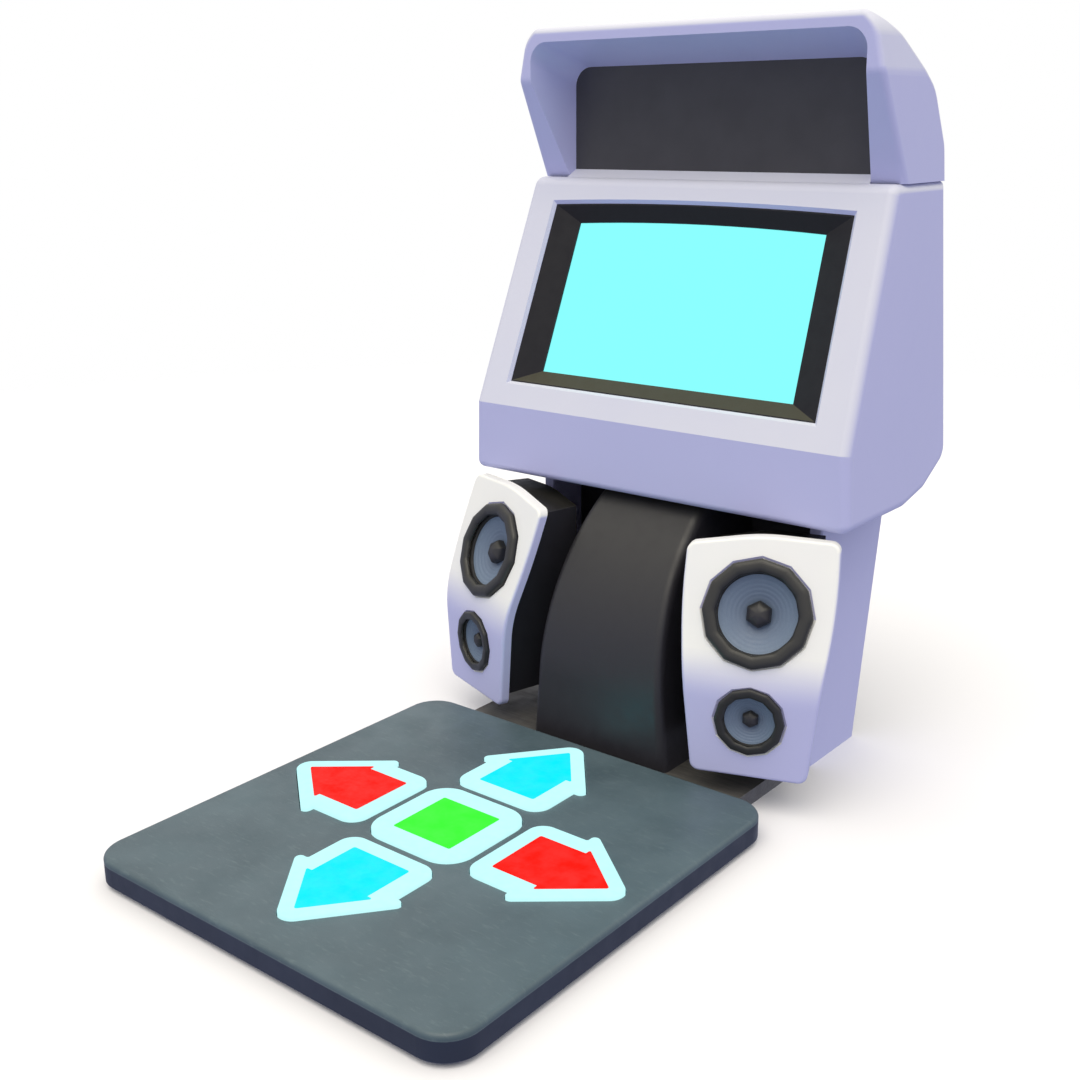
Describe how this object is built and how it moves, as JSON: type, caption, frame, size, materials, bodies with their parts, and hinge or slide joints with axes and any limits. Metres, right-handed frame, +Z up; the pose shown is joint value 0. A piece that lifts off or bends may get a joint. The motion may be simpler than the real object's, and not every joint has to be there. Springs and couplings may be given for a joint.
{
  "type": "dance rhythm machine",
  "caption": "Arcade dance machine: a low stage with arrow step panels, a curved pedestal with angled speakers, and a hooded monitor head with a marquee.",
  "frame": {"origin": "middle of the footprint, on the floor", "axes": "+X to the player's right as they face the screen, +Y to the machine's back, +Z up"},
  "size_m": [1.3132, 2.1131, 2.0462],
  "materials": {
    "lavender_plastic": "satin pale lavender moulding",
    "painted_board": "paint on board",
    "dark_plastic": "soft charcoal moulding",
    "marquee_acrylic": "smoked acrylic",
    "plywood": "painted plywood",
    "navy_steel": "navy powder coat",
    "black_rubber": "moulded rubber",
    "ice_polycarbonate": "frosted pale ice",
    "red_lens": "red film behind clear acrylic",
    "cyan_lens": "cyan film behind clear acrylic",
    "green_lens": "green film behind clear acrylic",
    "paper_cone": "pressed fibre cone",
    "zinc_steel": "zinc plated",
    "screen_glass": "lit screen glass",
    "electronics_case": "moulded case",
    "cast_aluminium": "cast housing",
    "circuit_board": "coated circuit board"
  },
  "bodies": {
    "machine": {"amplifier": "cast_aluminium", "cabinet_screws": "zinc_steel", "centre_panel_pads": "black_rubber", "chin_panel": "lavender_plastic", "column_back": "painted_board", "column_liner": "painted_board", "column_side_left": "lavender_plastic", "column_side_right": "lavender_plastic", "door_pivots": "zinc_steel", "down_panel_pads": "black_rubber", "fan_frame": "dark_plastic", "game_computer": "electronics_case", "head_back_panel": "painted_board", "head_floor": "painted_board", "head_hood": "lavender_plastic", "head_side_left": "lavender_plastic", "head_side_right": "lavender_plastic", "left_panel_pads": "black_rubber", "left_speaker_baffle": "lavender_plastic", "left_speaker_box": "plywood", "marquee_lamps": "electronics_case", "marquee_panel": "marquee_acrylic", "monitor_chassis": "electronics_case", "monitor_glass": "screen_glass", "monitor_surround": "lavender_plastic", "panel_light_boards": "circuit_board", "panel_sensors": "zinc_steel", "pedestal_cover": "dark_plastic", "plinth": "plywood", "power_inlet": "dark_plastic", "power_supply": "cast_aluminium", "right_panel_pads": "black_rubber", "right_speaker_baffle": "lavender_plastic", "right_speaker_box": "plywood", "screen_bezel": "dark_plastic", "speaker_brackets": "zinc_steel", "speaker_drivers": "zinc_steel", "speaker_rings": "dark_plastic", "stage_deck": "plywood", "stage_feet": "black_rubber", "stage_frame": "navy_steel", "up_panel_pads": "black_rubber"},
    "up_panel": {"up_step_panel": "ice_polycarbonate", "up_step_lens": "cyan_lens"},
    "down_panel": {"down_step_panel": "ice_polycarbonate", "down_step_lens": "cyan_lens"},
    "left_panel": {"left_step_panel": "ice_polycarbonate", "left_step_lens": "red_lens"},
    "right_panel": {"right_step_panel": "ice_polycarbonate", "right_step_lens": "red_lens"},
    "centre_panel": {"centre_step_panel": "ice_polycarbonate", "centre_step_lens": "green_lens"},
    "service_door": {"service_door": "painted_board"},
    "door_lock": {"door_lock": "zinc_steel"},
    "fan_rotor": {"fan_rotor": "dark_plastic"},
    "power_switch": {"power_switch": "dark_plastic"},
    "left_woofer_cone": {"left_woofer_cone": "paper_cone"},
    "left_mid_cone": {"left_mid_cone": "paper_cone"},
    "right_woofer_cone": {"right_woofer_cone": "paper_cone"},
    "right_mid_cone": {"right_mid_cone": "paper_cone"}
  },
  "joints": [
    {"name": "up_panel_press", "type": "slide", "parent": "machine", "child": "up_panel", "axis": [0, 0, -1], "range_m": [0, 0.003], "stiffness_N_per_m": 20000, "springref_m": -0.005, "deforming": ["up_panel_pads"]},
    {"name": "down_panel_press", "type": "slide", "parent": "machine", "child": "down_panel", "axis": [0, 0, -1], "range_m": [0, 0.003], "stiffness_N_per_m": 20000, "springref_m": -0.005, "deforming": ["down_panel_pads"]},
    {"name": "left_panel_press", "type": "slide", "parent": "machine", "child": "left_panel", "axis": [0, 0, -1], "range_m": [0, 0.003], "stiffness_N_per_m": 20000, "springref_m": -0.005, "deforming": ["left_panel_pads"]},
    {"name": "right_panel_press", "type": "slide", "parent": "machine", "child": "right_panel", "axis": [0, 0, -1], "range_m": [0, 0.003], "stiffness_N_per_m": 20000, "springref_m": -0.005, "deforming": ["right_panel_pads"]},
    {"name": "centre_panel_press", "type": "slide", "parent": "machine", "child": "centre_panel", "axis": [0, 0, -1], "range_m": [0, 0.003], "stiffness_N_per_m": 20000, "springref_m": -0.005, "deforming": ["centre_panel_pads"]},
    {"name": "service_door_swing", "type": "hinge", "parent": "machine", "child": "service_door", "pos_m": [-0.468, 1.04582, 0.91512], "axis": [0, -0.0777, 0.997], "range_deg": [0, 100]},
    {"name": "door_lock_turn", "type": "hinge", "parent": "service_door", "child": "door_lock", "pos_m": [0, 1.02115, 1.34751], "axis": [0, 0.997, 0.0777], "range_deg": [-90, 0]},
    {"name": "fan_spin", "type": "hinge", "parent": "machine", "child": "fan_rotor", "pos_m": [0, 0.97943, 1.49672], "axis": [0, 0.997, 0.0777], "continuous": true},
    {"name": "power_switch_rock", "type": "hinge", "parent": "machine", "child": "power_switch", "pos_m": [0.33, 0.87954, 0.14295], "axis": [1, 0, 0], "range_deg": [-8, 8]},
    {"name": "left_woofer_travel", "type": "slide", "parent": "machine", "child": "left_woofer_cone", "axis": [-0.3214, -0.883, 0.342], "range_m": [-0.004, 0.004], "stiffness_N_per_m": 3000},
    {"name": "left_mid_travel", "type": "slide", "parent": "machine", "child": "left_mid_cone", "axis": [-0.342, -0.9397, 0], "range_m": [-0.002, 0.002], "stiffness_N_per_m": 2000},
    {"name": "right_woofer_travel", "type": "slide", "parent": "machine", "child": "right_woofer_cone", "axis": [0.3214, -0.883, 0.342], "range_m": [-0.004, 0.004], "stiffness_N_per_m": 3000},
    {"name": "right_mid_travel", "type": "slide", "parent": "machine", "child": "right_mid_cone", "axis": [0.342, -0.9397, 0], "range_m": [-0.002, 0.002], "stiffness_N_per_m": 2000}
  ]
}
